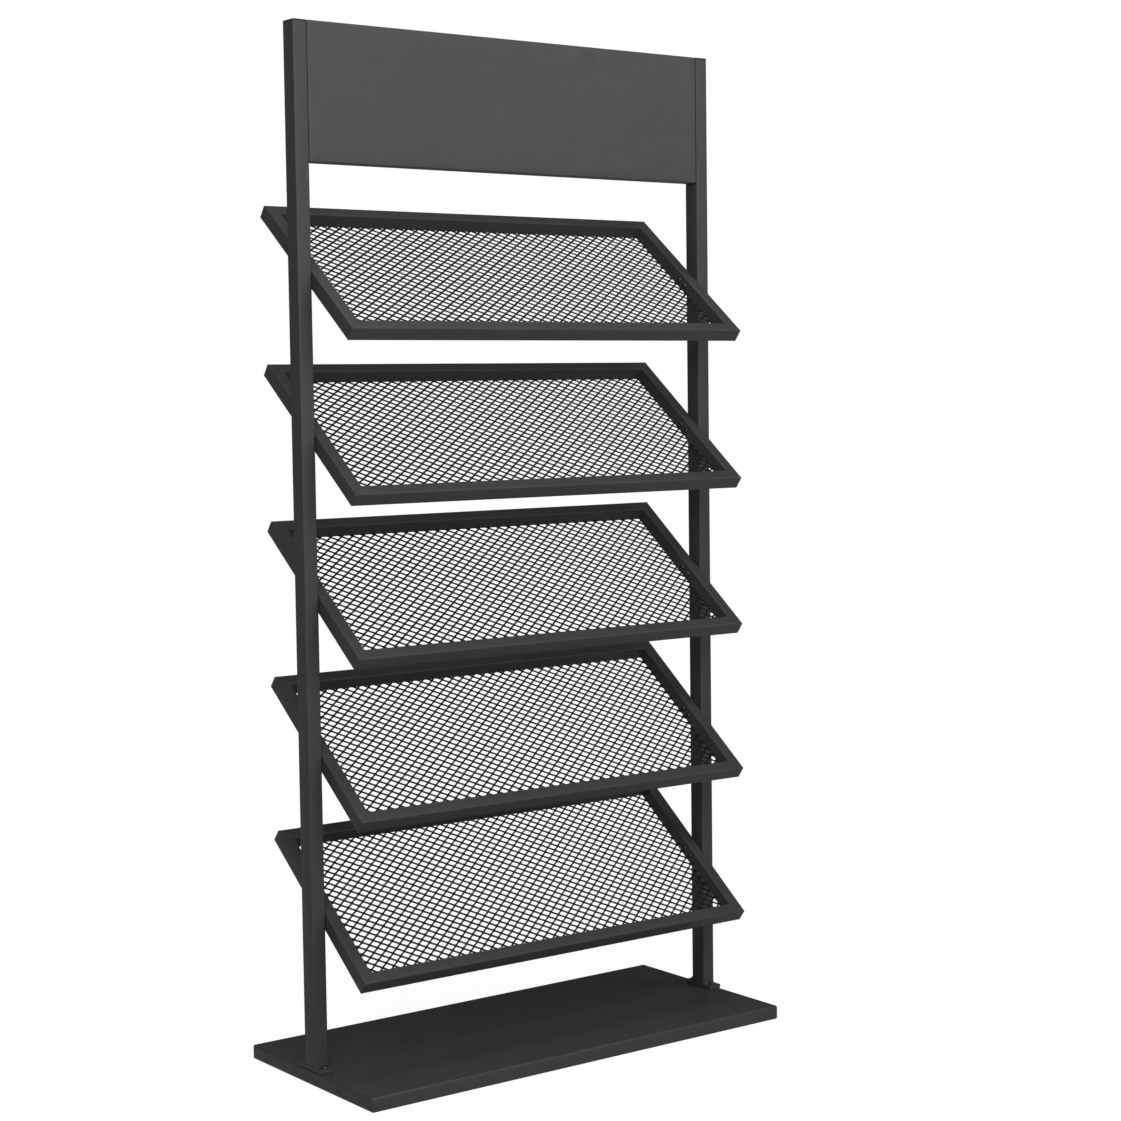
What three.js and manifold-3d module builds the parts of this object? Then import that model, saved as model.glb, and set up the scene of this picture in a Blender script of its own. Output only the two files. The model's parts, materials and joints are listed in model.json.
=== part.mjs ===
// Newspaper rack: five sloping mesh trays carried between two posts on a sheet-metal base, with a sign
// panel on top. Units are millimetres. +Z is up, -Y is the front, and the origin is on the floor below
// the middle of the rack.

import * as THREE from 'three';
import { mergeVertices } from 'three/addons/utils/BufferGeometryUtils.js';
import Module from 'manifold-3d';

const wasm = await Module();
wasm.setup();

// Whole rack
const RACK_HEIGHT = 1502;
const RACK_WIDTH = 745.6;
const CLEARANCE = 0.3;

// Base: a folded sheet-steel pan, open underneath, with its lower edges turned in
const BASE_DEPTH = 334;
const BASE_HEIGHT = 21.5;
const BASE_SHEET = 2;
const BASE_LIP = 16;
const BASE_CORNER = 2;

// Posts: rectangular tube with a foot plate welded across the lower end
const POST_WIDTH = 22;
const POST_DEPTH = 28.5;
const POST_WALL = 1.5;
const POST_CORNER = 2;
const FOOT_LENGTH = 62;
const FOOT_THICKNESS = 6;
const FOOT_BOLT_REACH = 22.2;
// How far solids that are joined together run into each other
const OVERLAP = 1;

// Plastic caps pushed into the open tops of the posts
const CAP_THICKNESS = 2;
const CAP_PLUG = 14;
const CAP_PLUG_GAP = 0.6;

// Sign panel: a folded pan, open at the back
const SIGN_HEIGHT = 195;
const SIGN_DEPTH = 22;
const SIGN_SHEET = 1.2;
const SIGN_LIP = 9;
const SIGN_CORNER = 1;
const SIGN_SIDE_GAP = 0.5;
const SIGN_SETBACK = 0.5;
const SIGN_SCREW_INSET = 35;

// Trays: a mitred frame of square tube around a recessed mesh panel
const TRAY_COUNT = 5;
const TRAY_LENGTH = 297;
const TRAY_SIDE_GAP = 0.7;
const TRAY_TILT = THREE.MathUtils.degToRad(37.8);
const TRAY_PITCH = 227;
const LOWEST_TRAY_HEIGHT = 257.6;
const BAR_WIDTH = 19;
const BAR_HEIGHT = 21.5;
const BAR_WALL = 1.5;
const BAR_CORNER = 2;
const MESH_THICKNESS = 0.8;
const MESH_DEPTH = 19.1;
const TRAY_SCREW_REACH = 8;

// Fasteners: button-head screws, sized by the radius of the thread
const SMALL_SCREW = { shank: 2.5, head: 4.75, headHeight: 2.75 };
const FOOT_BOLT = { shank: 3, head: 5.25, headHeight: 3.3 };
const HOLE_CLEARANCE = 0.5;
// Length of thread that stands out past the sheet or tube wall each screw holds
const FOOT_BOLT_REST = 8;
const SMALL_SCREW_REST = 4;
// Shape of the button heads, as shares of the head's own height and radius
const HEAD_EDGE_SHARE = 0.4;
const HEAD_CROWN_SHARE = 0.6;
const SCREW_SIDES = 12;
const HOLE_SIDES = 8;
const CORNER_SIDES = 2;

const POST_CENTRE = (RACK_WIDTH - POST_WIDTH) / 2;
const INNER_WIDTH = RACK_WIDTH - 2 * POST_WIDTH;
const TRAY_WIDTH = INNER_WIDTH - 2 * TRAY_SIDE_GAP;
const TRAY_SCREW_CENTRE = -BAR_HEIGHT / 2 * Math.tan(TRAY_TILT);
const POST_TOP = RACK_HEIGHT - CAP_THICKNESS - CLEARANCE;
const FOOT_BOTTOM = BASE_HEIGHT + CLEARANCE;
const FOOT_TOP = FOOT_BOTTOM + FOOT_THICKNESS;
const SIGN_BOTTOM = RACK_HEIGHT - SIGN_HEIGHT;
const SIGN_MIDDLE_Y = -POST_DEPTH / 2 + SIGN_SETBACK + SIGN_DEPTH / 2;
const SIGN_SCREW_HEIGHTS = [
  ['lower', SIGN_BOTTOM + SIGN_SCREW_INSET],
  ['upper', RACK_HEIGHT - SIGN_SCREW_INSET],
];
const SIDES = [['left', -1], ['right', 1]];
const ENDS = [['front', -1], ['back', 1]];

const coatedSteel = new THREE.MeshStandardMaterial({ color: 0x2f2f30, roughness: 0.55, metalness: 0.1 });
const signSteel = new THREE.MeshStandardMaterial({ color: 0x343435, roughness: 0.5, metalness: 0.1 });
const meshSteel = new THREE.MeshStandardMaterial({ color: 0x1c1c1d, roughness: 0.6, metalness: 0.1 });
const blackPlastic = new THREE.MeshStandardMaterial({ color: 0x151516, roughness: 0.6, metalness: 0 });
const blackScrew = new THREE.MeshStandardMaterial({ color: 0x1a1a1b, roughness: 0.4, metalness: 0.6 });

// Turns a closed three.js geometry into a solid that can be cut and joined.
function toSolid(geometry) {
  const bare = geometry.clone();
  bare.deleteAttribute('normal');
  bare.deleteAttribute('uv');
  const merged = mergeVertices(bare, 1e-3);
  return new wasm.Manifold(new wasm.Mesh({
    numProp: 3,
    vertProperties: new Float32Array(merged.attributes.position.array),
    triVerts: new Uint32Array(merged.index.array),
  }));
}

function toGeometry(solid) {
  const mesh = solid.getMesh();
  const geometry = new THREE.BufferGeometry();
  geometry.setAttribute('position', new THREE.BufferAttribute(new Float32Array(mesh.vertProperties), 3));
  geometry.setIndex(new THREE.BufferAttribute(new Uint32Array(mesh.triVerts), 1));
  geometry.computeVertexNormals();
  return geometry;
}

function cut(body, tools) {
  return tools.reduce((left, tool) => left.subtract(tool), body);
}

// Box between two corners
function box(low, high) {
  const size = high.map((value, axis) => value - low[axis]);
  const middle = high.map((value, axis) => (value + low[axis]) / 2);
  return new THREE.BoxGeometry(...size).translate(...middle);
}

// Rectangle with rounded corners, centred on the origin
function roundedRectangle(width, height, radius) {
  const x = width / 2 - radius;
  const y = height / 2 - radius;
  const outline = new THREE.Shape();
  outline.absarc(x, y, radius, 0, Math.PI / 2);
  outline.absarc(-x, y, radius, Math.PI / 2, Math.PI);
  outline.absarc(-x, -y, radius, Math.PI, 1.5 * Math.PI);
  outline.absarc(x, -y, radius, 1.5 * Math.PI, 2 * Math.PI);
  return outline;
}

function extrude(outline, depth) {
  return new THREE.ExtrudeGeometry(outline, { depth, bevelEnabled: false, curveSegments: CORNER_SIDES });
}

// Rectangular tube with rounded outer corners, from z = 0 up to its length
function tube(width, depth, wall, radius, length) {
  const section = roundedRectangle(width, depth, radius);
  const x = width / 2 - wall;
  const y = depth / 2 - wall;
  const bore = [[-x, -y], [-x, y], [x, y], [x, -y]];
  section.holes.push(new THREE.Path(bore.map((corner) => new THREE.Vector2(...corner))));
  return extrude(section, length);
}

// Solid plate with rounded corners seen from above
function plate(width, depth, radius, thickness) {
  return extrude(roundedRectangle(width, depth, radius), thickness);
}

// Round tool along Z for drilling, centred on the origin
function drill(radius, length) {
  return new THREE.CylinderGeometry(radius, radius, length, HOLE_SIDES).rotateX(Math.PI / 2);
}

// Button-head screw: the underside of the head is at the origin and the shank runs down along -Z.
function screw(size, length) {
  const profile = [
    [0, -length],
    [size.shank, -length],
    [size.shank, 0],
    [size.head, 0],
    [size.head, size.headHeight * HEAD_EDGE_SHARE],
    [size.head * HEAD_CROWN_SHARE, size.headHeight],
    [0, size.headHeight],
  ];
  const points = profile.map(([radius, height]) => new THREE.Vector2(radius, height));
  return new THREE.LatheGeometry(points, SCREW_SIDES).rotateX(Math.PI / 2);
}

// Folded pan standing on z = 0 and closed on top, with its lower edges turned in by the lip
function pan(width, depth, height, sheet, lip, corner) {
  const outside = toSolid(plate(width, depth, corner, height));
  const hollow = box(
    [-width / 2 + sheet, -depth / 2 + sheet, sheet],
    [width / 2 - sheet, depth / 2 - sheet, height - sheet],
  );
  const mouth = box(
    [-width / 2 + lip, -depth / 2 + lip, -sheet],
    [width / 2 - lip, depth / 2 - lip, 2 * sheet],
  );
  return cut(outside, [toSolid(hollow), toSolid(mouth)]);
}

const rack = new THREE.Group();

function addPart(parent, name, geometry, material) {
  const part = new THREE.Mesh(geometry, material);
  part.name = name;
  parent.add(part);
  return part;
}

// Base

function footBoltPositions(side) {
  return ENDS.map(([end, direction]) => [end, side * POST_CENTRE, direction * FOOT_BOLT_REACH]);
}

function baseTray() {
  const holes = SIDES.flatMap(([, side]) => footBoltPositions(side)).map(([, x, y]) => {
    const hole = drill(FOOT_BOLT.shank + HOLE_CLEARANCE, 4 * BASE_SHEET);
    return toSolid(hole.translate(x, y, BASE_HEIGHT));
  });
  const body = pan(RACK_WIDTH, BASE_DEPTH, BASE_HEIGHT, BASE_SHEET, BASE_LIP, BASE_CORNER);
  return toGeometry(cut(body, holes));
}

// Posts

// Screw places on a tray, along its slope from the middle of its upper face
function trayScrewPlaces() {
  return ENDS.map(([end, direction]) => [end, TRAY_SCREW_CENTRE + direction * TRAY_SCREW_REACH]);
}

function trayHeight(index) {
  return LOWEST_TRAY_HEIGHT + index * TRAY_PITCH;
}

// Where the tray screws of every tray meet the posts, as [y, z]
function trayHolePlaces() {
  const places = [];
  for (let index = 0; index < TRAY_COUNT; index += 1) {
    for (const [, along] of trayScrewPlaces()) {
      const y = along * Math.cos(TRAY_TILT) + BAR_HEIGHT / 2 * Math.sin(TRAY_TILT);
      const z = along * Math.sin(TRAY_TILT) - BAR_HEIGHT / 2 * Math.cos(TRAY_TILT);
      places.push([y, trayHeight(index) + z]);
    }
  }
  return places;
}

function post(side) {
  const shaft = tube(POST_WIDTH, POST_DEPTH, POST_WALL, POST_CORNER, POST_TOP - FOOT_TOP + OVERLAP);
  shaft.translate(0, 0, FOOT_TOP - OVERLAP);
  const foot = plate(POST_WIDTH, FOOT_LENGTH, POST_CORNER, FOOT_THICKNESS).translate(0, 0, FOOT_BOTTOM);
  const footHoles = footBoltPositions(side).map(([, , y]) => {
    const hole = drill(FOOT_BOLT.shank + HOLE_CLEARANCE, 3 * FOOT_THICKNESS);
    return toSolid(hole.translate(0, y, FOOT_BOTTOM));
  });
  const signPlaces = SIGN_SCREW_HEIGHTS.map(([, z]) => [SIGN_MIDDLE_Y, z]);
  const wallHoles = [...trayHolePlaces(), ...signPlaces].map(([y, z]) => {
    const hole = drill(SMALL_SCREW.shank + HOLE_CLEARANCE, 4 * POST_WALL).rotateY(Math.PI / 2);
    return toSolid(hole.translate(-side * POST_WIDTH / 2, y, z));
  });
  return toGeometry(cut(toSolid(shaft).add(toSolid(foot)), [...footHoles, ...wallHoles]));
}

function postCap() {
  const top = plate(POST_WIDTH, POST_DEPTH, POST_CORNER, CAP_THICKNESS);
  const x = POST_WIDTH / 2 - POST_WALL - CAP_PLUG_GAP;
  const y = POST_DEPTH / 2 - POST_WALL - CAP_PLUG_GAP;
  const plug = box([-x, -y, -CAP_PLUG], [x, y, OVERLAP]);
  return toGeometry(toSolid(top).add(toSolid(plug)));
}

function addPosts() {
  for (const [sideName, side] of SIDES) {
    addPart(rack, `${sideName}_post`, post(side), coatedSteel).position.x = side * POST_CENTRE;
    const cap = addPart(rack, `${sideName}_post_cap`, postCap(), blackPlastic);
    cap.position.set(side * POST_CENTRE, 0, RACK_HEIGHT - CAP_THICKNESS);
    for (const [end, x, y] of footBoltPositions(side)) {
      const shape = screw(FOOT_BOLT, FOOT_THICKNESS + FOOT_BOLT_REST);
      const bolt = addPart(rack, `${sideName}_foot_bolt_${end}`, shape, blackScrew);
      bolt.position.set(x, y, FOOT_TOP + CLEARANCE);
    }
  }
}

// Sign panel

function signPanel() {
  const width = INNER_WIDTH - 2 * SIGN_SIDE_GAP;
  const panel = pan(width, SIGN_HEIGHT, SIGN_DEPTH, SIGN_SHEET, SIGN_LIP, SIGN_CORNER);
  const holes = SIDES.flatMap(([, side]) => SIGN_SCREW_HEIGHTS.map(([, z]) => {
    const hole = drill(SMALL_SCREW.shank + HOLE_CLEARANCE, 6 * SIGN_SHEET).rotateY(Math.PI / 2);
    const height = z - SIGN_BOTTOM - SIGN_HEIGHT / 2;
    return toSolid(hole.translate(side * width / 2, height, SIGN_DEPTH / 2));
  }));
  return toGeometry(cut(panel, holes));
}

function addSign() {
  const sign = addPart(rack, 'sign_panel', signPanel(), signSteel);
  sign.rotation.x = Math.PI / 2;
  sign.position.set(0, -POST_DEPTH / 2 + SIGN_SETBACK + SIGN_DEPTH, SIGN_BOTTOM + SIGN_HEIGHT / 2);
  const length = CLEARANCE + SIGN_SHEET + SIGN_SIDE_GAP + POST_WALL + SMALL_SCREW_REST;
  for (const [sideName, side] of SIDES) {
    for (const [level, z] of SIGN_SCREW_HEIGHTS) {
      const part = addPart(rack, `sign_screw_${sideName}_${level}`, screw(SMALL_SCREW, length), blackScrew);
      part.rotation.y = -side * Math.PI / 2;
      const x = side * (INNER_WIDTH / 2 - SIGN_SIDE_GAP - SIGN_SHEET - CLEARANCE);
      part.position.set(x, SIGN_MIDDLE_Y, z);
    }
  }
}

// Trays

// Frame bar along X with 45 degree mitres: its outer face is at y = 0, its inner face at y = BAR_WIDTH,
// and its upper face at z = 0. The ends stop short of their neighbours by half the clearance.
function mitredBar(length) {
  const bar = tube(BAR_HEIGHT, BAR_WIDTH, BAR_WALL, BAR_CORNER, length);
  bar.rotateY(Math.PI / 2).translate(-length / 2, BAR_WIDTH / 2, -BAR_HEIGHT / 2);
  const position = bar.attributes.position;
  for (let index = 0; index < position.count; index += 1) {
    const x = position.getX(index);
    const reach = length / 2 - position.getY(index) - CLEARANCE / Math.SQRT2;
    position.setX(index, Math.sign(x) * reach);
  }
  return bar;
}

function sideBar(side) {
  const holes = trayScrewPlaces().map(([, along]) => {
    const hole = drill(SMALL_SCREW.shank + HOLE_CLEARANCE, 3 * BAR_WIDTH).rotateX(Math.PI / 2);
    return toSolid(hole.translate(side * along, 0, -BAR_HEIGHT / 2));
  });
  return toGeometry(cut(toSolid(mitredBar(TRAY_LENGTH)), holes));
}

function addTray(index) {
  const number = index + 1;
  const tray = new THREE.Group();
  tray.position.z = trayHeight(index);
  tray.rotation.x = TRAY_TILT;
  rack.add(tray);

  const frontBar = addPart(tray, `shelf_${number}_front_bar`, mitredBar(TRAY_WIDTH), coatedSteel);
  frontBar.position.y = -TRAY_LENGTH / 2;
  const backBar = addPart(tray, `shelf_${number}_back_bar`, mitredBar(TRAY_WIDTH), coatedSteel);
  backBar.position.y = TRAY_LENGTH / 2;
  backBar.rotation.z = Math.PI;

  const meshWidth = TRAY_WIDTH - 2 * (BAR_WIDTH + CLEARANCE);
  const meshLength = TRAY_LENGTH - 2 * (BAR_WIDTH + CLEARANCE);
  const sheet = new THREE.BoxGeometry(meshWidth, meshLength, MESH_THICKNESS);
  addPart(tray, `shelf_${number}_mesh`, sheet, meshSteel).position.z = -MESH_DEPTH;

  const screwLength = CLEARANCE + BAR_WIDTH + TRAY_SIDE_GAP + POST_WALL + SMALL_SCREW_REST;
  for (const [sideName, side] of SIDES) {
    const bar = addPart(tray, `shelf_${number}_${sideName}_bar`, sideBar(side), coatedSteel);
    bar.position.x = side * TRAY_WIDTH / 2;
    bar.rotation.z = side * Math.PI / 2;
    for (const [end, along] of trayScrewPlaces()) {
      const name = `shelf_${number}_${sideName}_screw_${end}`;
      const part = addPart(tray, name, screw(SMALL_SCREW, screwLength), blackScrew);
      part.rotation.y = -side * Math.PI / 2;
      part.position.set(side * (TRAY_WIDTH / 2 - BAR_WIDTH - CLEARANCE), along, -BAR_HEIGHT / 2);
    }
  }
}

addPart(rack, 'base_tray', baseTray(), coatedSteel);
addPosts();
addSign();
for (let index = 0; index < TRAY_COUNT; index += 1) {
  addTray(index);
}

export default rack;
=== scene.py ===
"""Looks of the newspaper rack: five sloping mesh trays between two posts, with a sign panel on top."""

import json
import math

import bmesh
import bpy
import numpy as np
from mathutils import Matrix, Vector


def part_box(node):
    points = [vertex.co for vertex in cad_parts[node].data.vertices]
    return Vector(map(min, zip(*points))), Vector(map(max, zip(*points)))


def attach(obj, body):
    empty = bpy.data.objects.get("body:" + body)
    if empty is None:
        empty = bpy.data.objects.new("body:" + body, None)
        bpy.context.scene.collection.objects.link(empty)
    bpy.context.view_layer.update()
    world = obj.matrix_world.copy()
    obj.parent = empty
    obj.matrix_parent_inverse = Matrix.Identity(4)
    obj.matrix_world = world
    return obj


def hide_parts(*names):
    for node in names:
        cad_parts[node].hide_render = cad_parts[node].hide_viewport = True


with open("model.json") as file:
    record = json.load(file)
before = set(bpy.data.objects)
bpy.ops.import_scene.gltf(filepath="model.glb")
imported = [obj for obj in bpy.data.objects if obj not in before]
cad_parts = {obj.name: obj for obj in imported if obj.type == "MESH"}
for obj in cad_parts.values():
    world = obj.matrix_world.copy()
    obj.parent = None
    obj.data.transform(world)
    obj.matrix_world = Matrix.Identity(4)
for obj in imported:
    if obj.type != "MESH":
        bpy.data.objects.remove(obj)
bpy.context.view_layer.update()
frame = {"nodes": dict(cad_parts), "record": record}

MM = 0.001
X_AXIS = Vector((1, 0, 0))
Z_AXIS = Vector((0, 0, 1))
TRAY_COUNT = 5
SIDES = ("left", "right")
MERGE_DISTANCE = 0.005 * MM
SMALLEST_CORNER = 0.15 * MM
SHARP_ANGLE = 35
FRAME_SHARP_ANGLE = 50
BEAD_SHARP_ANGLE = 60

# Camera: where it stands, and how it turns from looking along +Y
CAMERA_PLACE = Vector((-1.9935, -2.7936, 0.9900))
CAMERA_YAW = math.radians(36.65)
CAMERA_PITCH = math.radians(-4.32)
CAMERA_ROLL = math.radians(-0.75)
CAMERA_LENS = 73.52
SENSOR_WIDTH = 36

# Studio: dim surroundings that look white to the camera, a floor that glows as a white sweep does, and
# lamps as name, place, target, width and height, and power in watts
WORLD_LIGHT = 0.07
FLOOR_SIZE = 40
FLOOR_TONE = 0.12
FLOOR_ROUGHNESS = 0.9
FLOOR_GLOW = 0.34
FLOOR_WHITE = 0.93
FLOOR_FADE = (0.8, 2.5)
LAMPS = [
    ("front_high", (0, -3, 3), (0, 0, 1), (2, 1.5), 26),
    ("front_mid", (0, -3.6, 1.5), (0, 0, 1), (2, 1.5), 37),
    ("front_left", (-2.4, -2.6, 2.2), (0, 0, 1), (1.5, 1.5), 58),
    ("front_right", (2.4, -2.6, 2.2), (0, 0, 1), (1.5, 1.5), 24),
    ("left", (-3.4, -0.4, 1.6), (0, 0, 0.9), (1.5, 2), 13),
    ("overhead", (0, -0.6, 3.6), (0, 0, 0.8), (2.5, 1.5), 36),
    ("back_fill", (0, 3, 2.6), (0, 0, 0.9), (2.5, 1.5), 8),
]

# Steel sections, as in the solid model
POST_WALL = 1.5 * MM
FOOT_THICKNESS = 6 * MM
TUBE_CORNER = 2 * MM
CORNER_STEPS = 5
BASE_SHEET = 2 * MM
BASE_LIP = 16 * MM
BASE_BEND = 3 * MM
BASE_CORNER = 2 * MM
SIGN_SHEET = 1.2 * MM
SIGN_LIP = 9 * MM
SIGN_BEND = 2 * MM
SIGN_CORNER = 1 * MM
BAR_WIDTH = 19 * MM
CUT_EDGE = 0.4 * MM

# Post caps: a crowned top over a plug that stands clear of the tube's wall
CAP_THICKNESS = 2 * MM
CAP_PLUG_GAP = 0.6 * MM
CAP_PLUG_LEAD = (0.5 * MM, 0.8 * MM)
CAP_EDGE = 0.2 * MM
CAP_ROUND = 1.4 * MM
CAP_ROUND_END = 78
CAP_CROWN_INSETS = (3 * MM, 5 * MM)
CAP_CROWN_DROP = 0.02 * MM

# Welds: low beads across the mitres of the trays, and along the front and back of each post's foot
MITRE_CORNER = 1.5 * MM
MITRE_ROUNDING = 0.29
MITRE_ROUNDING_REACH = 0.35
MITRE_BEAD = 0.3 * MM
MITRE_BEAD_SPREAD = 1.6 * MM
MITRE_BEAD_END = 4 * MM
MITRE_STATIONS = (0.0, 0.7, 1.4, 2.2, 3.2, 5.0)
FLAT_STEPS = 6
BEAD_PITCH = 2.6 * MM
BEAD_RIPPLE = 0.3
FOOT_BEAD = 2.4 * MM
FOOT_BEAD_HALF = 9.2 * MM
FOOT_BEAD_STATIONS = 160
FOOT_BEAD_STEPS = 5
FOOT_BEAD_SINK = 0.3 * MM
FOOT_BEAD_FLATNESS = 0.22
FOOT_BEAD_END_SIZE = 0.25
FOOT_BEAD_END_SLOPE = 6

# Expanded metal: diamonds long across the tray, with thin strands that widen into knots
DIAMOND_WIDTH = 18.95 * MM
DIAMOND_LENGTH = 14.35 * MM
OPENING_WIDTH = 0.735
OPENING_LENGTH = 0.695
OPENING_ROUNDNESS = 1.2
STRAND_THICKNESS = 0.7 * MM
STRAND_TWIST = math.radians(26)
STRAND_STEPS = 6
SAME_POINT = 0.01 * MM
PHASE_STEPS = (0.37, 0.61)

# Screws: button heads with a hexagon socket, as shares of the head's radius and height
SOCKET_SHARE = 0.52
SOCKET_DEPTH = 0.6
SOCKET_MOUTH = 0.97
SOCKET_DIMPLE_RADIUS = 0.2
SOCKET_DIMPLE_HEIGHT = 0.8
CROWN = [(1.0, 0.0), (1.0, 0.28), (0.97, 0.4), (0.88, 0.62), (0.74, 0.84), (0.6, 0.97), (0.56, 1.0)]
SCREW_SIDES = 24
THREAD_PITCH = 0.8 * MM
THREAD_STEPS = 3
THREAD_DEPTH = 0.14
THREAD_START = 1.5 * MM
TIP_SHARE = 0.7
TIP_CHAMFER = 0.3 * MM
BUTTON_HEAD = 2.75 * MM
FOOT_HEAD = 3.3 * MM
SMALL_SHANK = 2.5 * MM
FOOT_SHANK = 3 * MM

# Coats: slow clouds of tone, fine specks, patches of gloss and a bumpy grain, in features a metre
NOISE_RANGE = (0.3, 0.7)
CLOUD_SCALE, CLOUD_DETAIL = 9, 4
SPECK_SCALE, SPECK_DETAIL, SPECK_TONES = 1400, 1, (0.92, 1.08)
GLOSS_SCALE, GLOSS_DETAIL, GLOSS_VARIATION = 60, 3, 0.06
GRAIN_DETAIL = 2
GRAIN_HEIGHT = 0.15 * MM


# Camera and light

def add_camera():
    """The camera, turned by its yaw, pitch and roll."""
    ahead = Vector((
        math.sin(CAMERA_YAW) * math.cos(CAMERA_PITCH),
        math.cos(CAMERA_YAW) * math.cos(CAMERA_PITCH),
        math.sin(CAMERA_PITCH),
    ))
    level_right = Vector((math.cos(CAMERA_YAW), -math.sin(CAMERA_YAW), 0))
    level_up = level_right.cross(ahead)
    right = level_right * math.cos(CAMERA_ROLL) + level_up * math.sin(CAMERA_ROLL)
    up = level_up * math.cos(CAMERA_ROLL) - level_right * math.sin(CAMERA_ROLL)
    camera = bpy.data.objects.new("camera", bpy.data.cameras.new("camera"))
    camera.data.lens = CAMERA_LENS
    camera.data.sensor_width = SENSOR_WIDTH
    turn = Matrix((right, up, -ahead)).transposed().to_4x4()
    camera.matrix_world = Matrix.Translation(CAMERA_PLACE) @ turn
    bpy.context.scene.collection.objects.link(camera)
    bpy.context.scene.camera = camera


def add_light(name, place, target, size, power):
    """A soft rectangular lamp at place, facing target, that the camera doesn't see."""
    lamp = bpy.data.objects.new(name, bpy.data.lights.new(name, "AREA"))
    lamp.data.shape = "RECTANGLE"
    lamp.data.size, lamp.data.size_y = size
    lamp.data.energy = power
    lamp.location = place
    lamp.rotation_mode = "QUATERNION"
    lamp.rotation_quaternion = (Vector(target) - Vector(place)).to_track_quat("-Z", "Y")
    lamp.visible_camera = False
    bpy.context.scene.collection.objects.link(lamp)


def background(nodes, strength):
    """Plain white surroundings of that strength."""
    made = nodes.new("ShaderNodeBackground")
    made.inputs["Color"].default_value = (1, 1, 1, 1)
    made.inputs["Strength"].default_value = strength
    return made.outputs[0]


def add_studio():
    """White surroundings, a pale floor and soft lamps."""
    world = bpy.data.worlds.new("studio")
    world.use_nodes = True
    nodes, links = world.node_tree.nodes, world.node_tree.links
    nodes.clear()
    output = nodes.new("ShaderNodeOutputWorld")
    mix = nodes.new("ShaderNodeMixShader")
    links.new(nodes.new("ShaderNodeLightPath").outputs["Is Camera Ray"], mix.inputs[0])
    links.new(background(nodes, WORLD_LIGHT), mix.inputs[1])
    links.new(background(nodes, 1), mix.inputs[2])
    links.new(mix.outputs[0], output.inputs["Surface"])
    bpy.context.scene.world = world
    bpy.context.scene.view_settings.view_transform = "Standard"

    half = FLOOR_SIZE / 2
    corners = [(-half, -half, 0), (half, -half, 0), (half, half, 0), (-half, half, 0)]
    floor = mesh_object("floor", corners, [(0, 1, 2, 3)], floor_paint())
    for lamp in LAMPS:
        add_light(*lamp)


def floor_paint():
    """Plain pale floor paint, lit from within enough to read as a white studio sweep."""
    material, nodes, links, shader = new_material("floor_paint")
    shader.inputs["Base Color"].default_value = (FLOOR_TONE, FLOOR_TONE, FLOOR_TONE, 1)
    shader.inputs["Roughness"].default_value = FLOOR_ROUGHNESS
    shader.inputs["Specular IOR Level"].default_value = 0
    shader.inputs["Emission Color"].default_value = (1, 1, 1, 1)
    reach = nodes.new("ShaderNodeVectorMath")
    reach.operation = "LENGTH"
    links.new(nodes.new("ShaderNodeTexCoord").outputs["Object"], reach.inputs[0])
    white = nodes.new("ShaderNodeMapRange")
    white.inputs["From Min"].default_value, white.inputs["From Max"].default_value = FLOOR_FADE
    white.inputs["To Min"].default_value = FLOOR_WHITE
    links.new(reach.outputs["Value"], white.inputs["Value"])
    glow = nodes.new("ShaderNodeMapRange")
    glow.inputs["To Min"].default_value = FLOOR_GLOW
    links.new(white.outputs["Result"], glow.inputs["To Max"])
    links.new(nodes.new("ShaderNodeLightPath").outputs["Is Camera Ray"], glow.inputs["Value"])
    links.new(glow.outputs["Result"], shader.inputs["Emission Strength"])
    return material


# Mesh helpers

def mesh_object(name, points, faces, paint):
    """A mesh object from corner points and faces, in the scene, with its faces turned outward."""
    mesh = bpy.data.meshes.new(name)
    mesh.from_pydata([tuple(point) for point in points], [], faces)
    work = bmesh.new()
    work.from_mesh(mesh)
    bmesh.ops.remove_doubles(work, verts=work.verts[:], dist=MERGE_DISTANCE)
    bmesh.ops.recalc_face_normals(work, faces=work.faces[:])
    work.to_mesh(mesh)
    work.free()
    made = bpy.data.objects.new(name, mesh)
    made.data.materials.append(paint)
    bpy.context.scene.collection.objects.link(made)
    return made


def soften(made, angle=SHARP_ANGLE):
    """Smooth shading that keeps edges sharper than the angle in degrees."""
    mesh = made.data
    mesh.shade_smooth()
    work = bmesh.new()
    work.from_mesh(mesh)
    for edge in work.edges:
        edge.smooth = not edge.is_manifold or edge.calc_face_angle() < math.radians(angle)
    work.to_mesh(mesh)
    work.free()


def loft(rings, around=False):
    """Points and faces of a skin through rings of equal length; its ends are closed, or joined if around."""
    count = len(rings[0])
    points = [point for ring in rings for point in ring]
    faces = []
    last = len(rings) if around else len(rings) - 1
    for level in range(last):
        low, high = level * count, (level + 1) % len(rings) * count
        for index in range(count):
            after = (index + 1) % count
            faces.append((low + index, low + after, high + after, high + index))
    if not around:
        faces.append(tuple(range(count)))
        faces.append(tuple(range((len(rings) - 1) * count, len(rings) * count)))
    return points, faces


def rounded(half_x, half_y, radius, height, centre=(0, 0)):
    """Ring of points round a rectangle with rounded corners at that height."""
    ring = []
    for sign_x, sign_y, start in ((1, 1, 0), (-1, 1, 90), (-1, -1, 180), (1, -1, 270)):
        for step in range(CORNER_STEPS + 1):
            angle = math.radians(start + 90 * step / CORNER_STEPS)
            x = centre[0] + sign_x * (half_x - radius) + radius * math.cos(angle)
            y = centre[1] + sign_y * (half_y - radius) + radius * math.sin(angle)
            ring.append((x, y, height))
    return ring


def stack(profile, half_x, half_y, corner, centre=(0, 0)):
    """Rounded rings for a profile of (inset from the outline, height) steps."""
    return [
        rounded(half_x - inset, half_y - inset, max(corner - inset, SMALLEST_CORNER), height, centre)
        for inset, height in profile
    ]


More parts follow.
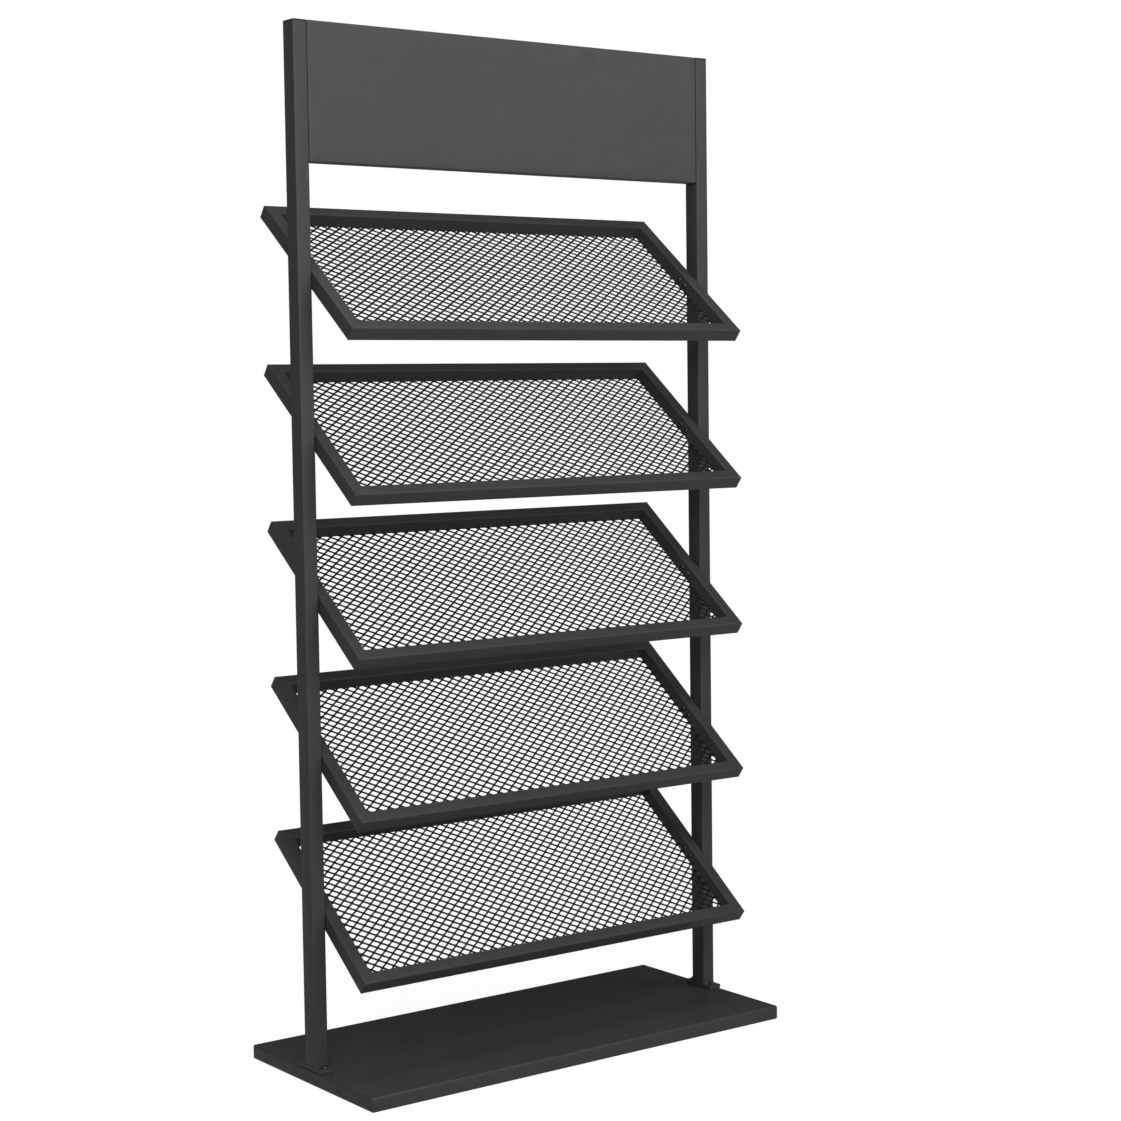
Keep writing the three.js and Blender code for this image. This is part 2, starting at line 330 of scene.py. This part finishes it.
def bend(centre_inset, centre_height, radius, start, end):
    """Profile steps round a quarter bend, as (inset, height)."""
    steps = []
    for step in range(CORNER_STEPS + 1):
        angle = math.radians(start + (end - start) * step / CORNER_STEPS)
        inset = centre_inset - radius * math.cos(angle)
        steps.append((inset, centre_height + radius * math.sin(angle)))
    return steps


def span(node, direction):
    """How far a CAD node reaches along a direction, lowest and highest."""
    places = [corner.co.dot(direction) for corner in frame["nodes"][node].data.vertices]
    return min(places), max(places)


def middle_and_halves(node):
    """Middle of a CAD node's box and half its size."""
    low, high = (Vector(corner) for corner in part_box(node))
    return (low + high) / 2, (high - low) / 2


def piece(made, slot, *nodes):
    """Makes the object a piece of the rack that stands for those CAD nodes."""
    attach(made, "root")
    if nodes:
        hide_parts(*nodes)
    return made


# Materials

def new_material(name):
    """A node material and its Principled shader."""
    material = bpy.data.materials.new(name)
    material.use_nodes = True
    nodes, links = material.node_tree.nodes, material.node_tree.links
    return material, nodes, links, nodes["Principled BSDF"]


def noise(nodes, links, scale, detail, coordinates):
    """Noise texture of that scale, in features a metre."""
    made = nodes.new("ShaderNodeTexNoise")
    made.inputs["Scale"].default_value = scale
    made.inputs["Detail"].default_value = detail
    links.new(coordinates, made.inputs["Vector"])
    return made.outputs["Fac"]


def ramp(nodes, links, source, low, high):
    """Turns a noise value into one between low and high."""
    made = nodes.new("ShaderNodeMapRange")
    made.inputs["From Min"].default_value, made.inputs["From Max"].default_value = NOISE_RANGE
    made.inputs["To Min"].default_value = low
    made.inputs["To Max"].default_value = high
    links.new(source, made.inputs["Value"])
    return made.outputs["Result"]


def finish_coat(name, tone, variation, roughness, grain, grain_scale, specular, metallic=0.0):
    """A coat with cloudy tone, fine specks, uneven gloss and a bumpy grain."""
    material, nodes, links, shader = new_material(name)
    place = nodes.new("ShaderNodeTexCoord").outputs["Object"]
    cloud_noise = noise(nodes, links, CLOUD_SCALE, CLOUD_DETAIL, place)
    clouds = ramp(nodes, links, cloud_noise, 1 - variation, 1 + variation)
    specks = ramp(nodes, links, noise(nodes, links, SPECK_SCALE, SPECK_DETAIL, place), *SPECK_TONES)
    both = nodes.new("ShaderNodeMath")
    both.operation = "MULTIPLY"
    links.new(clouds, both.inputs[0])
    links.new(specks, both.inputs[1])
    tint = nodes.new("ShaderNodeVectorMath")
    tint.operation = "SCALE"
    tint.inputs[0].default_value = tone
    links.new(both.outputs[0], tint.inputs["Scale"])
    links.new(tint.outputs[0], shader.inputs["Base Color"])
    gloss_noise = noise(nodes, links, GLOSS_SCALE, GLOSS_DETAIL, place)
    gloss = ramp(nodes, links, gloss_noise, roughness - GLOSS_VARIATION, roughness + GLOSS_VARIATION)
    links.new(gloss, shader.inputs["Roughness"])
    peel = nodes.new("ShaderNodeBump")
    peel.inputs["Strength"].default_value = grain
    peel.inputs["Distance"].default_value = GRAIN_HEIGHT
    links.new(noise(nodes, links, grain_scale, GRAIN_DETAIL, place), peel.inputs["Height"])
    links.new(peel.outputs[0], shader.inputs["Normal"])
    shader.inputs["Specular IOR Level"].default_value = specular
    shader.inputs["Metallic"].default_value = metallic
    return material


# Base and sign: folded pans

def pan_rings(half_x, half_y, depth, sheet, lip, radius, corner):
    """Rings of a folded pan from its closed face at z = depth, over the bends to the lip, and back inside."""
    outside = [(lip * 2, depth)] + bend(radius, depth - radius, radius, 90, 0)
    outside += bend(radius, radius, radius, 0, -90) + [(lip, 0)]
    inner = radius - sheet
    inside = [(lip, sheet)] + bend(radius, radius, inner, -90, 0)
    inside += bend(radius, depth - radius, inner, 0, 90) + [(lip * 2, depth - sheet)]
    return stack(outside + inside, half_x, half_y, corner)


def add_base(paint):
    """The base: a flat folded pan, open underneath."""
    middle, half = middle_and_halves("base_tray")
    rings = pan_rings(half.x, half.y, 2 * half.z, BASE_SHEET, BASE_LIP, BASE_BEND, BASE_CORNER)
    made = mesh_object("base_pan", *loft(rings), paint)
    made.location = (middle.x, middle.y, middle.z - half.z)
    soften(made)
    piece(made, "coated_steel", "base_tray")


def add_sign(paint):
    """The sign panel: a folded pan on edge, closed towards the front and open at the back."""
    middle, half = middle_and_halves("sign_panel")
    rings = pan_rings(half.x, half.z, 2 * half.y, SIGN_SHEET, SIGN_LIP, SIGN_BEND, SIGN_CORNER)
    upright = [[(x, -z, y) for x, y, z in ring] for ring in rings]
    made = mesh_object("sign_pan", *loft(upright), paint)
    made.location = (middle.x, middle.y + half.y, middle.z)
    soften(made)
    piece(made, "sign_steel", "sign_panel")


# Posts

def add_posts(paint):
    """Each post: an open tube, the plate across its foot, and the weld bead between them."""
    for name in SIDES:
        node = f"{name}_post"
        middle, half = middle_and_halves(node)
        low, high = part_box(node)
        depth = tube_half_depth(node)
        bottom, plate_top, top = low[2], low[2] + FOOT_THICKNESS, high[2]
        centre = (middle.x, middle.y)

        outer = [(CUT_EDGE, plate_top), (0, plate_top + CUT_EDGE), (0, top - CUT_EDGE), (CUT_EDGE, top)]
        inner = [(POST_WALL, top - CUT_EDGE), (POST_WALL, plate_top)]
        rings = stack(outer + inner, half.x, depth, TUBE_CORNER, centre)
        tube = mesh_object(f"{name}_post_tube", *loft(rings, around=True), paint)
        soften(tube)
        piece(tube, "coated_steel", node)

        profile = [(CUT_EDGE, bottom), (0, bottom + CUT_EDGE)]
        profile += bend(2 * CUT_EDGE, plate_top - 2 * CUT_EDGE, 2 * CUT_EDGE, 0, 90)
        rings = stack(profile, half.x, half.y, TUBE_CORNER, centre)
        plate = mesh_object(f"{name}_foot_plate", *loft(rings), paint)
        soften(plate)
        piece(plate, "coated_steel", node)

        bead = mesh_object(f"{name}_foot_weld", *foot_bead(depth, plate_top, centre), paint)
        soften(bead, BEAD_SHARP_ANGLE)
        piece(bead, "coated_steel", node)


def tube_half_depth(node):
    """How far a post's tube reaches from the middle to its front or back, at its top."""
    corners = [corner.co for corner in frame["nodes"][node].data.vertices]
    top = max(corner.z for corner in corners)
    across = [corner.y for corner in corners if corner.z > top - MM]
    return min(abs(min(across)), abs(max(across)))


def foot_bead(depth, height, centre):
    """Points and faces of two weld beads on a foot plate, along the front and the back of the tube."""
    points, faces = [], []
    for side in (-1, 1):
        rings = []
        for station in range(FOOT_BEAD_STATIONS + 1):
            share = station / FOOT_BEAD_STATIONS
            x = centre[0] + FOOT_BEAD_HALF * (2 * share - 1)
            ripple = 1 + BEAD_RIPPLE / 2 * math.sin(2 * math.pi * x / BEAD_PITCH)
            fade = min(1, FOOT_BEAD_END_SLOPE * min(share, 1 - share) + FOOT_BEAD_END_SIZE)
            size = FOOT_BEAD * ripple * fade
            ring = [(x, centre[1] + side * (depth - FOOT_BEAD_SINK), height - FOOT_BEAD_SINK)]
            for step in range(FOOT_BEAD_STEPS + 1):
                angle = math.pi / 2 * step / FOOT_BEAD_STEPS
                bulge = size * (1 - FOOT_BEAD_FLATNESS * math.sin(2 * angle))
                y = centre[1] + side * (depth + bulge * math.cos(angle))
                ring.append((x, y, height + bulge * math.sin(angle)))
            rings.append(ring)
        new_points, new_faces = loft(rings)
        faces += [tuple(index + len(points) for index in face) for face in new_faces]
        points += new_points
    return points, faces


def add_caps(paint):
    """The plastic caps in the tops of the posts: a softly crowned top over a plug."""
    for name in SIDES:
        node = f"{name}_post_cap"
        middle, half = middle_and_halves(node)
        low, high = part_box(node)
        bottom, top = low[2], high[2]
        under = top - CAP_THICKNESS
        wall = POST_WALL + CAP_PLUG_GAP
        lead_in, lead_height = CAP_PLUG_LEAD
        crown_edge, crown_top = CAP_CROWN_INSETS
        profile = [(wall + lead_in, bottom), (wall, bottom + lead_height), (wall, under)]
        profile += [(CAP_EDGE, under), (0, under + CAP_EDGE)]
        profile += bend(CAP_ROUND, top - CAP_ROUND, CAP_ROUND, 0, CAP_ROUND_END)
        profile += [(crown_edge, top - CAP_CROWN_DROP), (crown_top, top)]
        rings = stack(profile, half.x, half.y, TUBE_CORNER, (middle.x, middle.y))
        cap = mesh_object(f"{name}_cap", *loft(rings), paint)
        soften(cap)
        piece(cap, "cap_plastic", node)


# Trays

def tray_axes(number):
    """Where a tray's mesh bed is: its middle, and the directions across, up the slope and out of it."""
    mounts = {mount["name"]: mount for mount in frame["record"]["mounts"]}
    bed = mounts[f"tray_{number}_bed"]
    out = Vector(bed["axis"]).normalized()
    return Vector(bed["pos_m"]), X_AXIS, out.cross(X_AXIS), out


def bar_section(width, height):
    """Points round a bar's section as (depth in from the outer face, height), with outward normals."""
    points = []
    corners = (
        (width, 0, 1, 1, 0), (0, 0, -1, 1, 90), (0, -height, -1, -1, 180), (width, -height, 1, -1, 270),
    )
    for x, y, sign_x, sign_y, start in corners:
        centre = np.array([x - sign_x * TUBE_CORNER, y - sign_y * TUBE_CORNER])
        for step in range(CORNER_STEPS + 1):
            angle = math.radians(start + 90 * step / CORNER_STEPS)
            normal = np.array([math.cos(angle), math.sin(angle)])
            points.append((centre + TUBE_CORNER * normal, normal))
    full = []
    for index, (place, normal) in enumerate(points):
        full.append((place, normal))
        after, after_normal = points[(index + 1) % len(points)]
        if np.linalg.norm(after - place) > TUBE_CORNER:
            for step in range(1, FLAT_STEPS):
                full.append((place + (after - place) * step / FLAT_STEPS, normal))
    return full


def welded_frame(width, length, height, shift):
    """Points and faces of a mitred frame, upper face at z = 0, with its corners rounded and welded."""
    section = bar_section(BAR_WIDTH, height)
    travel = np.cumsum([0] + [
        np.linalg.norm(after[0] - place[0]) for place, after in zip(section, section[1:])
    ])
    half = np.array([width, length]) / 2
    corners = ((1, -1), (1, 1), (-1, 1), (-1, -1))
    rings = []
    for index, corner in enumerate(corners):
        arriving_along_x = index % 2 == 0
        for part in (0, 1):
            along_x = arriving_along_x if part == 0 else not arriving_along_x
            stations = list(MITRE_STATIONS)[::-1] if part == 0 else list(MITRE_STATIONS)[1:]
            for station in stations:
                rings.append(mitre_ring(
                    section, travel, half, corner, along_x, station * MM, shift + index
                ))
    return loft(rings, around=True)


def mitre_ring(section, travel, half, corner, along_x, distance, shift):
    """One ring of points across a bar, parallel to its mitre and that far from it along the bar."""
    ring = []
    swell = MITRE_BEAD * math.exp(-(distance / MITRE_BEAD_SPREAD) ** 2)
    if distance > MITRE_BEAD_END:
        swell = 0
    closeness = max(0, 1 - distance / MITRE_CORNER)
    rounding = MITRE_ROUNDING * MITRE_CORNER * closeness ** 2
    for (place, normal), along in zip(section, travel):
        ripple = 1 + BEAD_RIPPLE * math.sin(2 * math.pi * along / BEAD_PITCH + shift)
        point = place + normal * swell * ripple
        inward = point[0] + rounding * max(0, 1 - place[0] / (MITRE_ROUNDING_REACH * BAR_WIDTH))
        reach = [half[0] - inward, half[1] - inward]
        reach[0 if along_x else 1] -= distance
        ring.append((corner[0] * reach[0], corner[1] * reach[1], point[1]))
    return ring


def add_tray_frames(paint):
    """Each tray's frame as one welded piece, in place of its four bars."""
    for number in range(1, TRAY_COUNT + 1):
        bars = [f"shelf_{number}_{name}_bar" for name in ("front", "back", "left", "right")]
        _, across, uphill, out = tray_axes(number)
        left, right = span(bars[0], across)
        front, back = span(bars[0], uphill)[0], span(bars[1], uphill)[1]
        low, high = span(bars[0], out)
        made = mesh_object(
            f"tray_frame_{number}", *welded_frame(right - left, back - front, high - low, number), paint
        )
        turn = Matrix((across, uphill, out)).transposed()
        centre = across * (left + right) / 2 + uphill * (front + back) / 2 + out * high
        made.matrix_world = Matrix.Translation(centre) @ turn.to_4x4()
        soften(made, FRAME_SHARP_ANGLE)
        piece(made, "coated_steel", *bars)


# Expanded metal panels

def opening_ring():
    """One diamond: points round the strand centre lines, those round its opening, and the twist at each."""
    outer, inner, twist = [], [], []
    for quarter in range(4):
        for step in range(STRAND_STEPS):
            share = step / STRAND_STEPS
            angle = share * math.pi / 2
            power = 2 / OPENING_ROUNDNESS
            line = np.array([1 - share, share])
            curve = np.array([math.cos(angle) ** power, math.sin(angle) ** power])
            turn = np.array([[1, 0], [0, 1]]) if quarter % 2 == 0 else np.array([[0, -1], [1, 0]])
            flip = 1 if quarter < 2 else -1
            outer.append(flip * turn @ line)
            inner.append(flip * turn @ curve)
            twist.append(math.tan(STRAND_TWIST * math.sin(math.pi * share)))
    half = np.array([DIAMOND_WIDTH, DIAMOND_LENGTH]) / 2
    opening = half * np.array([OPENING_WIDTH, OPENING_LENGTH])
    return np.array(outer) * half, np.array(inner) * opening, np.array(twist)


def expanded_metal(width, length, phase):
    """Mesh data of an expanded-metal sheet, cut to width and length, with its upper side at z = 0."""
    outer, inner, twist = opening_ring()
    count = len(outer)
    rise = twist * (inner[:, 1] - outer[:, 1])
    columns = math.ceil(width / DIAMOND_WIDTH) + 2
    rows = math.ceil(length / DIAMOND_LENGTH) + 2
    cells = [
        (column, row)
        for column in range(-columns, columns + 1)
        for row in range(-rows, rows + 1)
        if (column + row) % 2 == 0
    ]
    centres = np.array(cells, float) * [DIAMOND_WIDTH / 2, DIAMOND_LENGTH / 2] + phase
    reach = np.array([width, length]) / 2 + [DIAMOND_WIDTH, DIAMOND_LENGTH]
    centres = centres[(np.abs(centres) < reach).all(axis=1)]
    flat = np.concatenate([
        np.concatenate([outer, np.zeros((count, 1))], axis=1),
        np.concatenate([inner, rise[:, None]], axis=1),
    ])
    layers = np.concatenate([flat, flat - [0, 0, STRAND_THICKNESS]])
    moves = np.concatenate([centres, np.zeros((len(centres), 1))], axis=1)
    points = (layers[None] + moves[:, None]).reshape(-1, 3)
    ring = np.arange(count)
    after = np.roll(ring, -1)
    low = 2 * count
    quads = np.concatenate([
        np.stack([ring, after, after + count, ring + count], axis=1),
        np.stack([ring + low + count, after + low + count, after + low, ring + low], axis=1),
        np.stack([ring + count, after + count, after + low + count, ring + low + count], axis=1),
    ])
    faces = (quads[None] + (np.arange(len(centres)) * len(layers))[:, None, None]).reshape(-1, 4)
    keys = np.round(points / SAME_POINT).astype(np.int64)
    _, first, same = np.unique(keys, axis=0, return_index=True, return_inverse=True)
    same = same.reshape(-1)
    mesh = bpy.data.meshes.new("expanded_metal")
    mesh.from_pydata(points[first].tolist(), [], same[faces].tolist())
    trim(mesh, width / 2, length / 2)
    return mesh


def trim(mesh, half_width, half_length):
    """Cuts the sheet's strands off square at its edges and closes their ends."""
    work = bmesh.new()
    work.from_mesh(mesh)
    for axis, reach in ((0, half_width), (1, half_length)):
        for side in (-1, 1):
            normal = Vector((0, 0, 0))
            normal[axis] = side
            everything = work.verts[:] + work.edges[:] + work.faces[:]
            cut = bmesh.ops.bisect_plane(
                work, geom=everything, plane_co=normal * reach, plane_no=normal, clear_outer=True
            )
            edges = [e for e in cut["geom_cut"] if isinstance(e, bmesh.types.BMEdge)]
            bmesh.ops.edgeloop_fill(work, edges=edges)
    bmesh.ops.recalc_face_normals(work, faces=work.faces[:])
    work.to_mesh(mesh)
    work.free()


def add_mesh_panels(paint):
    """The expanded metal of each tray, in place of the plain sheet."""
    for number in range(1, TRAY_COUNT + 1):
        node = f"shelf_{number}_mesh"
        middle, across, uphill, out = tray_axes(number)
        left, right = span(node, across)
        front, back = span(node, uphill)
        phase = number * np.array(PHASE_STEPS) % 1 * [DIAMOND_WIDTH, DIAMOND_LENGTH]
        panel = bpy.data.objects.new(
            f"expanded_metal_{number}", expanded_metal(right - left, back - front, phase)
        )
        bpy.context.scene.collection.objects.link(panel)
        turn = Matrix((across, uphill, out)).transposed()
        centre = across * (left + right) / 2 + uphill * (front + back) / 2 + out * middle.dot(out)
        panel.matrix_world = Matrix.Translation(centre) @ turn.to_4x4()
        panel.data.materials.append(paint)
        piece(panel, "mesh_steel", node)


# Screws

def screw_shape(shank, head, head_height, length):
    """Points and faces of a screw along +Z: threaded shank below z = 0, button head with a socket above."""
    angles = [2 * math.pi * index / SCREW_SIDES for index in range(SCREW_SIDES)]

    def circle(radius, height):
        return [(radius * math.cos(a), radius * math.sin(a), height) for a in angles]

    def hexagon(across, height):
        ring = []
        for angle in angles:
            corner = (angle + math.pi / 6) % (math.pi / 3) - math.pi / 6
            radius = across / math.cos(corner)
            ring.append((radius * math.cos(angle), radius * math.sin(angle), height))
        return ring

    rings = [circle(TIP_SHARE * shank, -length)]
    turns = int((length - THREAD_START) / (THREAD_PITCH / THREAD_STEPS))
    for step in range(turns):
        height = -length + TIP_CHAMFER + step * THREAD_PITCH / THREAD_STEPS
        ring = []
        for angle in angles:
            turn = (height / THREAD_PITCH - angle / (2 * math.pi)) % 1
            radius = shank * (1 - THREAD_DEPTH * abs(2 * turn - 1))
            ring.append((radius * math.cos(angle), radius * math.sin(angle), height))
        rings.append(ring)
    rings += [circle(shank, -THREAD_START / 2), circle(shank, 0)]
    rings += [circle(head * radius, head_height * height) for radius, height in CROWN]
    across = SOCKET_SHARE * head / math.cos(math.pi / 6)
    floor = head_height * (1 - SOCKET_DEPTH)
    socket = SOCKET_SHARE * head * math.cos(math.pi / 6)
    rings += [hexagon(socket, SOCKET_MOUTH * head_height), hexagon(socket, floor)]
    rings.append(circle(SOCKET_DIMPLE_RADIUS * across, SOCKET_DIMPLE_HEIGHT * floor))
    return loft(rings)


def add_screws(paint):
    """A threaded button-head screw in place of each plain CAD screw."""
    names = [name for name in frame["nodes"] if "_screw_" in name or "_bolt_" in name]
    for name in sorted(names):
        middle, half = middle_and_halves(name)
        at_foot = "_bolt_" in name
        head_height = FOOT_HEAD if at_foot else BUTTON_HEAD
        along = Z_AXIS if at_foot else X_AXIS * (1 if middle.x < 0 else -1)
        axis = 2 if at_foot else 0
        head = max(half[other] for other in range(3) if other != axis)
        shank = FOOT_SHANK if at_foot else SMALL_SHANK
        length = 2 * half[axis] - head_height
        made = mesh_object(name.replace("shelf", "tray") + "_threaded", *screw_shape(
            shank, head, head_height, length
        ), paint)
        made.rotation_mode = "QUATERNION"
        made.rotation_quaternion = along.to_track_quat("Z", "Y")
        made.location = middle + along * (half[axis] - head_height)
        soften(made)
        piece(made, "screw_steel", name)


add_camera()
add_studio()
coated_steel = finish_coat("coated_steel", (0.034, 0.034, 0.035), 0.06, 0.5, 0.25, 750, 0.35)
sign_steel = finish_coat("sign_steel", (0.040, 0.040, 0.041), 0.04, 0.5, 0.25, 750, 0.35)
mesh_steel = finish_coat("mesh_steel", (0.008, 0.008, 0.0083), 0.08, 0.6, 0.15, 750, 0.15)
cap_plastic = finish_coat("cap_plastic", (0.016, 0.016, 0.017), 0.05, 0.55, 0.4, 1500, 0.4)
screw_steel = finish_coat("screw_steel", (0.05, 0.05, 0.053), 0.15, 0.4, 0.1, 900, 0.5, 0.7)
add_base(coated_steel)
add_sign(sign_steel)
add_posts(coated_steel)
add_caps(cap_plastic)
add_tray_frames(coated_steel)
add_mesh_panels(mesh_steel)
add_screws(screw_steel)
for node in frame["nodes"].values():
    node.data.materials.clear()
    node.data.materials.append(coated_steel)
